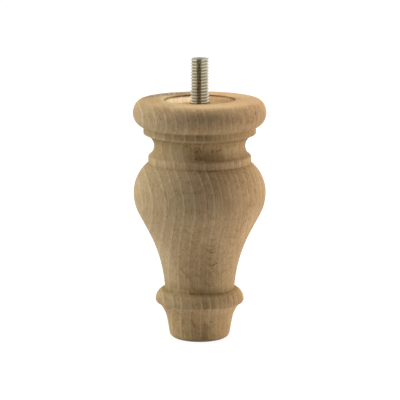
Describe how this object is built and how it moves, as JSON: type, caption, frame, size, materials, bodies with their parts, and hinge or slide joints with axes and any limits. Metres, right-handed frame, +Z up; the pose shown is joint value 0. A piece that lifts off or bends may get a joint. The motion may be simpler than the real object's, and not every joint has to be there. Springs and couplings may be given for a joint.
{
  "type": "turned wooden furniture leg",
  "caption": "Short vase-shaped turned leg in raw beech with a flared foot, bead, cove and rolled rim, and a threaded stud in its recessed top for screwing it under furniture.",
  "frame": {"origin": "centre of the foot's flat underside, on the floor", "axes": "+Z up along the turning axis, towards the stud; the part is round, so X and Y are free"},
  "size_m": [0.055, 0.055, 0.117],
  "materials": {
    "beech": "raw, sanded, unvarnished",
    "plated_steel": "bright plated, rolled thread"
  },
  "bodies": {
    "root": {"turned_leg": "beech", "hanger_bolt": "plated_steel"}
  },
  "joints": []
}
